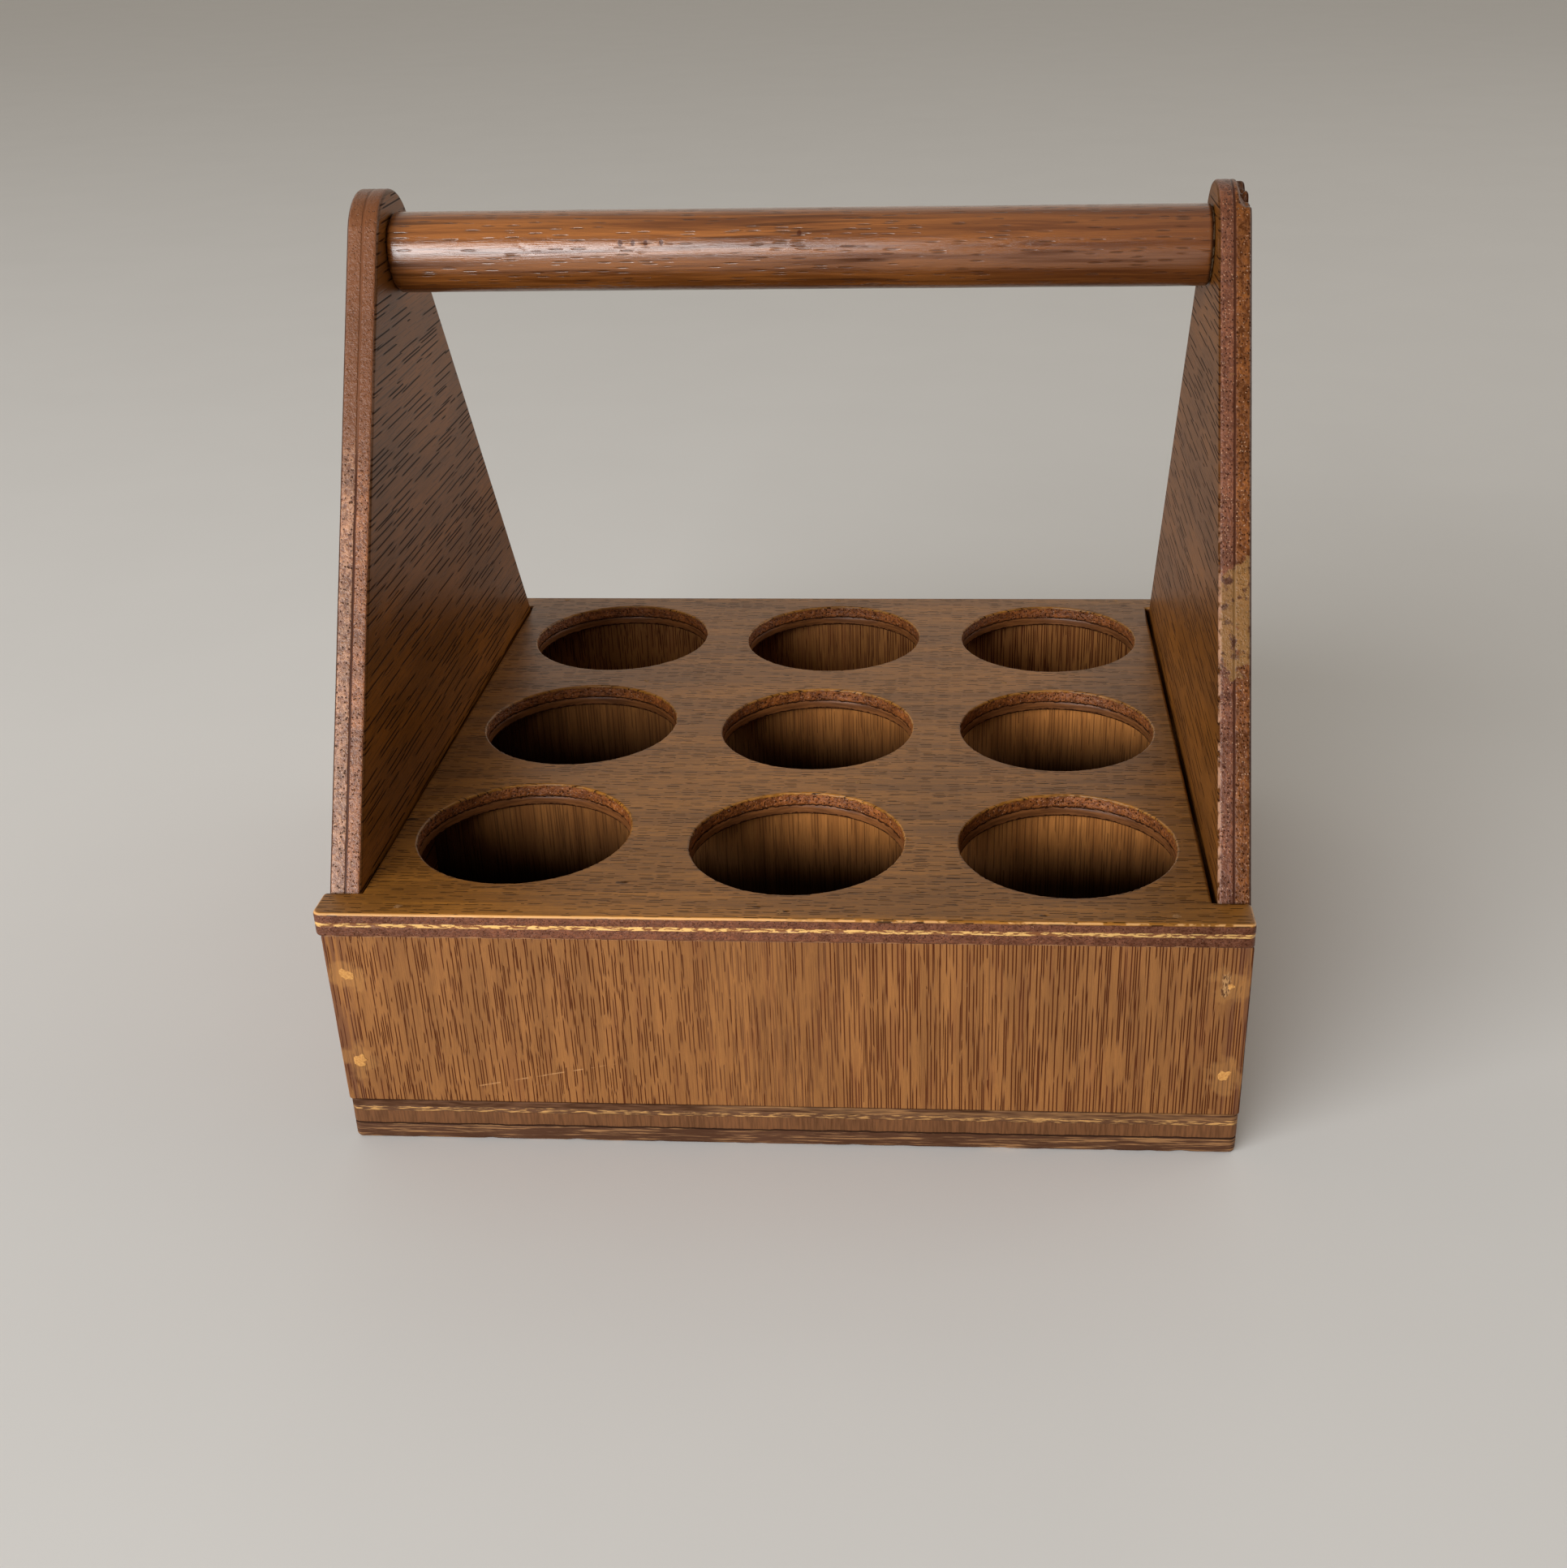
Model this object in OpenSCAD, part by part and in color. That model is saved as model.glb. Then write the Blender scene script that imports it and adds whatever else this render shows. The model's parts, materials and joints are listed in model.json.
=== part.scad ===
// Carrying rack with nine round holes, in plywood with a dowel handle.
// A base board carries a low box: two panels, two end boards and two dividers.
// A drilled deck lies on the box, and the end boards pass up through notches in
// its ends, taper, and hold the handle between their rounded tops.
//
// Millimetres. The origin is the centre of the base board's underside.
// +X runs along the handle, -Y is the front and +Z is up.

/* [Box] */
// Length of the box, along the handle
box_l = 280; // [272:1:320]
// Depth of the box, from front to back
box_d = 268; // [264:1:300]
// Height of the front and back panels
panel_h = 61; // [45:1:90]
// Thickness of the base board
base_t = 15; // [12:1:18]
// Thickness of the front and back panels
panel_t = 8; // [6:0.5:12]
// Thickness of the two dividers
divider_t = 6; // [4:0.5:6]

/* [Deck] */
// Thickness of the deck
deck_t = 8; // [6:0.5:12]
// How far the deck stands out in front of the front panel
front_lip = 1; // [0:0.5:3]
// How far the deck stands out past the left end board
left_lip = 1.5; // [0:0.5:3]
// How far the deck stops short of the back panel's outer face
back_step = 1; // [0:0.5:2]
// Gap between the deck and the left end board
left_gap = 0.5; // [0.2:0.1:2]
// Gap between the deck and the right end board
right_gap = 1.5; // [0.2:0.1:2]
// Gap between the deck and the front and back edges of each end board
edge_gap = 0.5; // [0.2:0.1:1]

/* [Holes] */
// Diameter of the holes
hole_d = 68.5; // [30:0.5:70]
// Spacing of the holes along the rack
pitch_x = 86; // [80:0.5:87]
// Spacing of the holes from front to back
pitch_y = 87; // [84:0.5:88]
// How far the grid of holes sits off the rack's centre, to the right and to the back
grid_shift = [1, 1.2]; // [0:0.1:2]
// How far the front left hole was bored off its mark, to the right and to the back
front_left_slip = [-3, 5]; // [-3:0.5:5]
// How far the middle hole of the left column was bored off its mark
middle_left_slip = [-0.5, 2.5]; // [-3:0.5:3]

/* [End boards and handle] */
// Thickness of the end boards
end_t = 10; // [9:0.5:14]
// Radius of the rounded top of an end board
end_top_r = 19.5; // [16:0.5:30]
// Height of the handle's centre above the table
handle_z = 252; // [200:1:320]
// Diameter of the handle
handle_d = 25; // [20:1:30]
// Radius of the rounded rim at each end of the handle
handle_rim_r = 1.8; // [0.5:0.1:3]

/* [Fixings] */
// Shank diameter of a panel pin
pin_d = 1.4; // [1:0.1:1.6]
// Length of a panel pin
pin_l = 25; // [20:1:30]
// Depth at which a panel pin's head is sunk and filled over
pin_sink = 1.2; // [0.6:0.1:2]
// Diameter of a spot of filler
filler_d = 4.2; // [3:0.2:5]
// Shank diameter of a nail in the base board
nail_d = 2; // [1.6:0.1:2.4]
// Length of a nail in the base board
nail_l = 38; // [30:1:40]
// Shank diameter of a handle screw
screw_d = 4; // [3.5:0.5:5]
// Length of a handle screw
screw_l = 38; // [30:1:50]

/* [Hidden] */

$fn = 96;
eps = 0.01;     // overlap that keeps a cut from ending flush with a face
far = 40;       // overlap for cuts that run right out of a board

panel_top = base_t + panel_h;
deck_top = panel_top + deck_t;
inner_l = box_l - 2 * end_t;            // clear length between the end boards
end_w = box_d - 2 * panel_t;            // width of an end board inside the box
divider_y = pitch_y / 2 - 0.5;          // distance of a divider from the centre plane
head_h = 0.8;                           // height of a pin's or a nail's head
head_ratio = 1.7;                       // head diameter over shank diameter
tip_h = 2.5;                            // length of a pin's, nail's or screw's point

// Where the fixings go
panel_pin_x = box_l / 2 - 6;
panel_pin_z = [base_t + 15, base_t + panel_h - 14];
divider_pin_z = [base_t + 20, base_t + panel_h - 20];
rim_pin_x = [-116, 0, 117];
front_divider_pin_x = [-58, 18];
rear_divider_pin_x = [-68, 69];
deck_pin_places = concat(
    [for (x = rim_pin_x, side = [-1, 1]) [x, side * (box_d - panel_t) / 2]],
    [for (x = front_divider_pin_x) [x, -divider_y]],
    [for (x = rear_divider_pin_x) [x, divider_y]]
);
base_nail_places = concat(
    [for (x = [-90, 0, 90], side = [-1, 1]) [x, side * (box_d - panel_t) / 2]],
    [for (y = [-75, 75], side = [-1, 1]) [side * (box_l - end_t) / 2, y]],
    [for (x = [-60, 60], side = [-1, 1]) [x, side * divider_y]]
);

// Centre of each hole; columns and rows count -1, 0, 1 from the front left
function hole_slip(column, row) =
    column == -1 && row == -1 ? front_left_slip :
    column == -1 && row == 0 ? middle_left_slip :
    [0, 0];
function hole_at(column, row) =
    [column * pitch_x, row * pitch_y] + grid_shift + hole_slip(column, row);
hole_places = [for (row = [-1:1], column = [-1:1]) hole_at(column, row)];

// Point where a straight edge from [half_w, base_z] meets a circle of radius r
// centred at [0, centre_z], on the outer side
function tangent_point(half_w, base_z, centre_z, r) =
    let (
        drop = centre_z - base_z,
        reach = sqrt(half_w * half_w + drop * drop),
        angle = acos(r / reach) - atan2(drop, half_w)
    )
    [r * cos(angle), centre_z + r * sin(angle)];

// Boards

module slab(length, depth, height) {
    translate([-length / 2, -depth / 2, 0])
        cube([length, depth, height]);
}

// Outline of an end board in the Y-Z plane, made larger all round by grow:
// straight sides up to the deck's underside, then a taper to the rounded top
module end_outline(grow = 0) {
    half_w = end_w / 2 + grow;
    touch = tangent_point(half_w, panel_top, handle_z, end_top_r + grow);
    polygon([
        [-half_w, base_t],
        [half_w, base_t],
        [half_w, panel_top],
        touch,
        [-touch.x, touch.y],
        [-half_w, panel_top]
    ]);
    translate([0, handle_z])
        circle(end_top_r + grow);
}

// An end board's outline given a thickness along +X, from x
module end_solid(x, thickness, grow = 0) {
    translate([x, 0, 0])
        rotate([90, 0, 90])
            linear_extrude(thickness)
                end_outline(grow);
}

module panel_blank() {
    translate([-box_l / 2, -box_d / 2, base_t])
        cube([box_l, panel_t, panel_h]);
}

module divider_blank() {
    translate([0, 0, base_t])
        slab(inner_l, divider_t, panel_h);
}

// Fixings. Each is drawn with its head at the origin, driven along -Z.

module driven(shank_d, length) {
    translate([0, 0, -head_h])
        cylinder(d = shank_d * head_ratio, h = head_h);
    translate([0, 0, tip_h - length])
        cylinder(d = shank_d, h = length - tip_h - head_h + eps);
    translate([0, 0, -length])
        cylinder(d1 = 0.3, d2 = shank_d, h = tip_h);
}

module panel_pin() {
    translate([0, 0, -pin_sink])
        driven(pin_d, pin_l);
}

module filler() {
    translate([0, 0, -pin_sink])
        cylinder(d = filler_d, h = pin_sink);
}

// Room for a sunk pin and the filler over it
module pin_cut() {
    panel_pin();
    translate([0, 0, -pin_sink])
        cylinder(d = filler_d, h = pin_sink + 1);
}

module base_nail() {
    driven(nail_d, nail_l);
}

module screw_blank() {
    screw_head_d = 2 * screw_d;
    screw_head_h = 0.65 * screw_d;
    translate([0, 0, -screw_head_h])
        cylinder(d1 = screw_d, d2 = screw_head_d, h = screw_head_h);
    translate([0, 0, tip_h - screw_l])
        cylinder(d = screw_d, h = screw_l - tip_h - screw_head_h + eps);
    translate([0, 0, -screw_l])
        cylinder(d1 = 0.6, d2 = screw_d, h = tip_h);
}

module handle_screw() {
    slot_w = 0.25 * screw_d;
    slot_h = 0.3 * screw_d;
    difference() {
        screw_blank();
        translate([-2 * screw_d, -slot_w / 2, -slot_h])
            cube([4 * screw_d, slot_w, slot_h + 1]);
    }
}

// Where each kind of fixing goes, with its head on the outer face

module at_front_pins() {
    for (side = [-1, 1], z = panel_pin_z)
        translate([side * panel_pin_x, -box_d / 2, z])
            rotate([90, 0, 0])
                children();
}

module at_back_pins() {
    mirror([0, 1, 0])
        at_front_pins()
            children();
}

module at_deck_pins() {
    for (place = deck_pin_places)
        translate([place.x, place.y, deck_top])
            children();
}

module at_divider_pins() {
    for (side = [-1, 1], y = [-divider_y, divider_y], z = divider_pin_z)
        translate([side * box_l / 2, y, z])
            rotate([0, side * 90, 0])
                children();
}

module at_base_nails() {
    for (place = base_nail_places)
        translate([place.x, place.y, 0])
            rotate([180, 0, 0])
                children();
}

module at_handle_screws() {
    for (side = [-1, 1])
        translate([side * box_l / 2, 0, handle_z])
            rotate([0, side * 90, 0])
                children();
}

// The parts

module base_board() {
    color("saddlebrown")
        difference() {
            slab(box_l, box_d, base_t);
            at_base_nails() base_nail();
        }
}

module front_panel() {
    color("peru")
        difference() {
            panel_blank();
            at_front_pins() pin_cut();
            at_deck_pins() pin_cut();
            at_base_nails() base_nail();
        }
}

module back_panel() {
    color("peru")
        difference() {
            mirror([0, 1, 0]) panel_blank();
            at_back_pins() pin_cut();
            at_deck_pins() pin_cut();
            at_base_nails() base_nail();
        }
}

module end_board(side) {
    difference() {
        end_solid(side > 0 ? inner_l / 2 : -box_l / 2, end_t);
        at_front_pins() pin_cut();
        at_back_pins() pin_cut();
        at_divider_pins() pin_cut();
        at_base_nails() base_nail();
        at_handle_screws() screw_blank();
    }
}

module left_end_board() {
    color("sienna")
        end_board(-1);
}

module right_end_board() {
    color("sienna")
        end_board(1);
}

module divider(side) {
    difference() {
        translate([0, side * divider_y, 0]) divider_blank();
        at_divider_pins() pin_cut();
        at_deck_pins() pin_cut();
        at_base_nails() base_nail();
    }
}

module front_divider() {
    color("burlywood")
        divider(-1);
}

module rear_divider() {
    color("burlywood")
        divider(1);
}

module deck() {
    deck_l = box_l + left_lip;
    deck_d = box_d + front_lip - back_step;
    color("tan")
        difference() {
            translate([-box_l / 2 - left_lip, -box_d / 2 - front_lip, panel_top])
                cube([deck_l, deck_d, deck_t]);
            end_solid(-box_l / 2 - far, end_t + far + left_gap, edge_gap);
            end_solid(inner_l / 2 - right_gap, end_t + far + right_gap, edge_gap);
            for (place = hole_places)
                translate([place.x, place.y, panel_top - 1])
                    cylinder(d = hole_d, h = deck_t + 2);
            at_deck_pins() pin_cut();
        }
}

// A straight rod with a rounded rim at each end
module handle_dowel() {
    r = handle_d / 2;
    rim = handle_rim_r;
    color("chocolate")
        difference() {
            translate([-inner_l / 2, 0, handle_z])
                rotate([0, 90, 0])
                    rotate_extrude() {
                        square([r - rim, inner_l]);
                        translate([0, rim])
                            square([r, inner_l - 2 * rim]);
                        translate([r - rim, rim])
                            circle(rim);
                        translate([r - rim, inner_l - rim])
                            circle(rim);
                    }
            at_handle_screws() screw_blank();
        }
}

module handle_screws() {
    color("goldenrod")
        at_handle_screws() handle_screw();
}

module front_panel_pins() {
    color("silver")
        at_front_pins() panel_pin();
}

module back_panel_pins() {
    color("silver")
        at_back_pins() panel_pin();
}

module deck_pins() {
    color("silver")
        at_deck_pins() panel_pin();
}

module divider_pins() {
    color("silver")
        at_divider_pins() panel_pin();
}

module base_nails() {
    color("silver")
        at_base_nails() base_nail();
}

module front_panel_filler() {
    color("wheat")
        at_front_pins() filler();
}

module back_panel_filler() {
    color("wheat")
        at_back_pins() filler();
}

module deck_filler() {
    color("wheat")
        at_deck_pins() filler();
}

module end_board_filler() {
    color("wheat")
        at_divider_pins() filler();
}

base_board();
front_panel();
back_panel();
left_end_board();
right_end_board();
front_divider();
rear_divider();
deck();
handle_dowel();
handle_screws();
front_panel_pins();
back_panel_pins();
deck_pins();
divider_pins();
base_nails();
front_panel_filler();
back_panel_filler();
deck_filler();
end_board_filler();
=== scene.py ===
"""The looks of a plywood carrying rack with nine round holes and a dowel handle.

Lengths are in millimetres and become metres when a mesh is made. Sizes and places
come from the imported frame: +X runs along the handle, -Y is the front, +Z is up.
"""
import json
import math

import bmesh
import bpy
import numpy as np
from mathutils import Matrix, Vector, noise
from mathutils.geometry import delaunay_2d_cdt
from mathutils.kdtree import KDTree


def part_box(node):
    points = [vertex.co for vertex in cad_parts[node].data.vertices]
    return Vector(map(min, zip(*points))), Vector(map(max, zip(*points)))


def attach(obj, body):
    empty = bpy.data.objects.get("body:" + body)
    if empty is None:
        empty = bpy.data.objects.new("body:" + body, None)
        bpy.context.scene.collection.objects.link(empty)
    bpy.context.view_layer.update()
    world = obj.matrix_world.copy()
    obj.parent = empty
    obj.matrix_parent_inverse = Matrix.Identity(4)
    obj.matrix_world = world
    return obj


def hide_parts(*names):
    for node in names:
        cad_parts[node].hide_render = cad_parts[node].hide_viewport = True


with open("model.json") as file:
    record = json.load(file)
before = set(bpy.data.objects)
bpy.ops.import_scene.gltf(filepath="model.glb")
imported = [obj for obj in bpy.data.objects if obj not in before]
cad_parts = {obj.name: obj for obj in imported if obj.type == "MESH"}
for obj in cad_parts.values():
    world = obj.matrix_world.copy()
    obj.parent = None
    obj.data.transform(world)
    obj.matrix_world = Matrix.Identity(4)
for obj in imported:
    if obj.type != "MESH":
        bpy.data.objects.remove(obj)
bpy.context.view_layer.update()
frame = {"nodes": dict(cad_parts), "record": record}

MM = 0.001
QUARTER = math.pi / 2
ARRIS_STEPS = 4


# Sizes from the frame

class Box:
    """The box of a CAD node, in millimetres."""

    def __init__(self, node):
        low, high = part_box(node)
        self.node = node
        self.low = low / MM
        self.high = high / MM
        self.size = self.high - self.low
        self.middle = (self.high + self.low) / 2

    def at(self, x, y, z):
        """The place at a share of the box's width, depth and height."""
        return self.low + Vector((x * self.size.x, y * self.size.y, z * self.size.z))


base = Box("base_board")
front = Box("front_panel")
back = Box("back_panel")
left_end = Box("left_end_board")
right_end = Box("right_end_board")
front_divider = Box("front_divider")
rear_divider = Box("rear_divider")
deck = Box("deck")
handle = Box("handle_dowel")
screws = Box("handle_screws")

axis_z = handle.middle.z
top_radius = left_end.high.z - axis_z
end_half_width = left_end.size.y / 2


def hole_centres():
    """The deck's holes, as (x, y, radius)."""
    found = []
    for mount in frame["record"]["mounts"]:
        if mount["name"].startswith("hole_"):
            x, y, _ = mount["pos_m"]
            found.append((x / MM, y / MM, mount["dims"]["r_mm"]))
    return found


def notch_walls():
    """The x of the deck's left and right notch walls, from the corners of its notches."""
    beside_notch = [
        vertex.co.x / MM
        for vertex in frame["nodes"]["deck"].data.vertices
        if abs(vertex.co.y / MM) > end_half_width
    ]
    inside = [x for x in beside_notch if left_end.low.x < x < right_end.high.x]
    return (
        min(x for x in inside if x > left_end.high.x),
        max(x for x in inside if x < right_end.low.x),
    )


def solid_centres(node, reach=5):
    """The centre of each separate solid in a node of small spots."""
    groups = []
    for vertex in frame["nodes"][node].data.vertices:
        point = vertex.co / MM
        for group in groups:
            if (group[0] - point).length < reach:
                group.append(point)
                break
        else:
            groups.append([point])
    centres = []
    for group in groups:
        low = Vector(min(p[k] for p in group) for k in range(3))
        high = Vector(max(p[k] for p in group) for k in range(3))
        centres.append((low + high) / 2)
    return centres


NICKS = [(-55, 20), (-51, 20), (-47, 20), (-42, 20), (1.4, 32)]


def on_handle(x, degrees):
    """The place on the handle's surface at this x and this angle above its front."""
    turn, radius = math.radians(degrees), handle.size.z / 2
    return Vector((x, -radius * math.cos(turn), axis_z + radius * math.sin(turn)))


# Outlines. An outline runs with the wood on its left, and its points keep their
# order and their number at every height.

class Outline:
    """A closed outline with rounded corners, which may move with height."""

    def __init__(self, corners_at, radii, step=1.0, low_arris=0.4, high_arris=0.4):
        self.corners_at = corners_at
        self.radii = radii
        self.low_arris = low_arris
        self.high_arris = high_arris
        self.cuts = None
        self.step = step
        self.rough = True
        self.points(0)

    def bends(self, height):
        """Start, centre, radius and angles of the arc at each corner."""
        corners = [Vector(c) for c in self.corners_at(height)]
        count = len(corners)
        for i, corner in enumerate(corners):
            inward = (corners[i - 1] - corner).normalized()
            onward = (corners[(i + 1) % count] - corner).normalized()
            radius = max(self.radii[i], 1e-3)
            half = inward.angle(onward) / 2
            centre = corner + (inward + onward).normalized() * radius / math.sin(half)
            start = corner + inward * radius / math.tan(half) - centre
            end = corner + onward * radius / math.tan(half) - centre
            first = math.atan2(start.y, start.x)
            sweep = math.atan2(start.x * end.y - start.y * end.x, start.dot(end))
            yield centre, radius, first, sweep

    def points(self, height):
        bends = list(self.bends(height))
        arcs = []
        for centre, radius, first, sweep in bends:
            pieces = max(1, round(radius * abs(sweep) / (0.6 * self.step)))
            if radius < 0.01:
                arcs.append([centre])
                continue
            arcs.append([
                centre + radius * Vector((math.cos(a), math.sin(a)))
                for a in (first + sweep * k / pieces for k in range(pieces + 1))
            ])
        if self.cuts is None:
            self.cuts = [
                max(1, round((arcs[(i + 1) % len(arcs)][0] - arc[-1]).length / self.step))
                for i, arc in enumerate(arcs)
            ]
        points = []
        for i, arc in enumerate(arcs):
            points += arc
            following = arcs[(i + 1) % len(arcs)][0]
            cuts = self.cuts[i]
            points += [arc[-1].lerp(following, k / cuts) for k in range(1, cuts)]
        return np.array(points)


class Hole:
    """A round hole through a board, whose radius may change with height."""

    def __init__(self, x, y, radius_at, low_arris=0.3, high_arris=0.5, step=0.85, rough=True):
        self.centre = np.array([x, y])
        self.radius_at = radius_at
        self.low_arris = low_arris
        self.high_arris = high_arris
        self.count = 4 * round(math.pi * radius_at(0) / 2 / step)
        self.rough = rough

    def points(self, height):
        turn = np.linspace(0, -2 * math.pi, self.count, endpoint=False)
        ring = np.stack([np.cos(turn), np.sin(turn)], axis=1)
        return self.centre + ring * self.radius_at(height)


def box_outline(width, depth, radius, **arris):
    """A rectangle about the origin, with every corner rounded alike."""
    x, y = width / 2, depth / 2
    corners = [(-x, -y), (x, -y), (x, y), (-x, y)]
    return Outline(lambda height: corners, [radius] * 4, **arris)


def inward_normals(points):
    """Unit vectors into the wood at each point of an outline."""
    along = np.roll(points, -1, axis=0) - np.roll(points, 1, axis=0)
    normals = np.stack([-along[:, 1], along[:, 0]], axis=1)
    return normals / np.linalg.norm(normals, axis=1, keepdims=True)


# Meshes

def smooth_noise(x, y, z, seed=0.0):
    return noise.noise(Vector((x + seed, y - 2 * seed, z + 3 * seed)))


def wall_levels(height, rows, low, high):
    """(inset, height, share of arris) of each ring of a wall, going up."""
    turns = [QUARTER * k / ARRIS_STEPS for k in range(ARRIS_STEPS + 1)]
    for turn in turns:
        yield low * (1 - math.sin(turn)), low * (1 - math.cos(turn)), math.sin(2 * turn)
    for k in range(1, rows):
        yield 0.0, low + (height - low - high) * k / rows, 0.0
    for turn in reversed(turns):
        yield high * (1 - math.sin(turn)), height - high * (1 - math.cos(turn)), math.sin(2 * turn)


class Dent:
    """A small oval mark pressed into a face."""

    def __init__(self, u, v, length, width, depth, turn=0.0):
        self.centre = Vector((u, v))
        self.half = (length / 2, width / 2)
        self.depth = depth
        self.turn = math.radians(turn)

    def at(self, across, round_it):
        """The point at a share of the way out from the centre, in one direction."""
        spot = Vector((
            self.half[0] * across * math.cos(round_it),
            self.half[1] * across * math.sin(round_it),
        ))
        spot.rotate(Matrix.Rotation(self.turn, 2))
        return self.centre + spot

    def points(self):
        rings = [self.at(k / 4, a * math.pi / 6) for k in range(1, 6) for a in range(12)]
        return [self.centre] + rings

    def depth_at(self, point):
        offset = Vector(point) - self.centre
        offset.rotate(Matrix.Rotation(-self.turn, 2))
        out = (offset.x / self.half[0]) ** 2 + (offset.y / self.half[1]) ** 2
        return self.depth * max(0.0, 1 - out) ** 2


def face_points(rings, grid, dents):
    """Points spread over a face, kept off its edges and its dents."""
    edge = np.concatenate(rings)
    normals = np.concatenate([inward_normals(ring) for ring in rings])
    tree = KDTree(len(edge))
    for i, point in enumerate(edge):
        tree.insert((point[0], point[1], 0), i)
    tree.balance()

    def clear(point, margin):
        near, i, _ = tree.find((point[0], point[1], 0))
        away = np.array([point[0] - near.x, point[1] - near.y])
        return away @ normals[i] > margin

    low, high = edge.min(axis=0), edge.max(axis=0)
    spread = [
        Vector((u, v))
        for u in np.arange(low[0] + grid / 2, high[0], grid)
        for v in np.arange(low[1] + grid / 2, high[1], grid)
        if clear((u, v), 0.6 * grid)
    ]
    kept = [p for p in spread if all((p - d.centre).length > 0.8 * d.half[0] + 0.6 for d in dents)]
    marked = [p for d in dents for p in d.points() if clear(p, 0.12)]
    return kept + marked


def new_piece(name, vertices, faces, material, nodes, wear=None):
    """Makes a mesh object from points in millimetres and stands it in for CAD nodes."""
    mesh = bpy.data.meshes.new(name)
    mesh.from_pydata([Vector(v) * MM for v in vertices], [], faces)
    work = bmesh.new()
    work.from_mesh(mesh)
    bmesh.ops.recalc_face_normals(work, faces=work.faces)
    work.to_mesh(mesh)
    work.free()
    if wear is not None:
        attribute = mesh.attributes.new("arris", "FLOAT", "POINT")
        attribute.data.foreach_set("value", wear)
    mesh.shade_smooth()
    mesh.materials.append(material)
    piece = bpy.data.objects.new(name, mesh)
    bpy.context.scene.collection.objects.link(piece)
    weighted = piece.modifiers.new("weighted", "WEIGHTED_NORMAL")
    weighted.mode = "FACE_AREA"
    weighted.weight = 50
    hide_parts(*nodes)
    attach(piece, "root")
    return piece


def board(node, loops, height, place, material, rows=14, relief=None,
          wave=0.04, dents=(), grid=5.0):
    """A board between two faces: loops gives its outline and its holes, relief how much
    wood is lost from its edges, and place turns (u, v, height) into the frame."""
    points, faces, wear = [], [], []
    low_rings, high_rings, low_index, high_index = [], [], [], []
    for loop in loops:
        inward = inward_normals(loop.points(0))
        count = len(inward)
        levels = list(wall_levels(height, rows, loop.low_arris, loop.high_arris))
        for number, (inset, level, arris) in enumerate(levels):
            ring = loop.points(level)
            lost = np.full(count, inset)
            if relief and loop.rough:
                lost += [relief(u, v, level) for u, v in ring]
            ring = ring + inward * lost[:, None]
            first = len(points)
            points += [(u, v, level) for u, v in ring]
            wear += [arris] * count
            if number == 0:
                low_rings.append(ring)
                low_index += range(first, first + count)
            if number == len(levels) - 1:
                high_rings.append(ring)
                high_index += range(first, first + count)
            if number:
                below = first - count
                for i in range(count):
                    j = (i + 1) % count
                    faces.append((below + i, below + j, first + j, first + i))
    for rings, index, level, marks in (
        (low_rings, low_index, 0.0, ()),
        (high_rings, high_index, height, dents),
    ):
        faces += cover(points, wear, rings, index, level, marks, grid, wave if level else 0.0)
    vertices = [place @ Vector(p) for p in points]
    return new_piece(node, vertices, faces, material, [node], wear)


def cover(points, wear, rings, index, level, dents, grid, wave):
    """Closes a board's face between its rings of points, and returns the triangles."""
    inner = face_points(rings, grid, dents)
    index = list(index)
    for point in inner:
        index.append(len(points))
        sink = sum(d.depth_at(point) for d in dents)
        sink += wave * (0.5 + smooth_noise(point.x / 40, point.y / 40, level))
        points.append((point.x, point.y, level - sink if level else 0.0))
        wear.append(0.0)
    flat = [Vector(p) for ring in rings for p in ring] + inner
    edges, hole_of, first = [], {}, 0
    for number, ring in enumerate(rings):
        count = len(ring)
        edges += [(first + i, first + (i + 1) % count) for i in range(count)]
        hole_of.update({first + i: number for i in range(count) if number})
        first += count
    inside = 1
    _, _, triangles, came_from, _, _ = delaunay_2d_cdt(flat, edges, [], inside, 1e-6)
    kept = []
    for triangle in triangles:
        corners = [came_from[corner][0] for corner in triangle]
        in_hole = {hole_of.get(corner, 0) for corner in corners}
        if len(in_hole) > 1 or in_hole == {0}:
            kept.append(tuple(index[corner] for corner in corners))
    return kept


# Placing boards: the columns are where u, v and height point, then the origin.

def placed(u_axis, v_axis, h_axis, origin):
    turn = Matrix((u_axis, v_axis, h_axis)).transposed().to_4x4()
    return Matrix.Translation(origin) @ turn


X, Y, Z = Vector((1, 0, 0)), Vector((0, 1, 0)), Vector((0, 0, 1))


# Materials

def srgb(red, green, blue):
    """A colour as a screen shows it, from 0 to 255, as a linear colour."""
    def linear(level):
        level /= 255
        return level / 12.92 if level <= 0.04045 else ((level + 0.055) / 1.055) ** 2.4
    return (linear(red), linear(green), linear(blue), 1.0)


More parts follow.
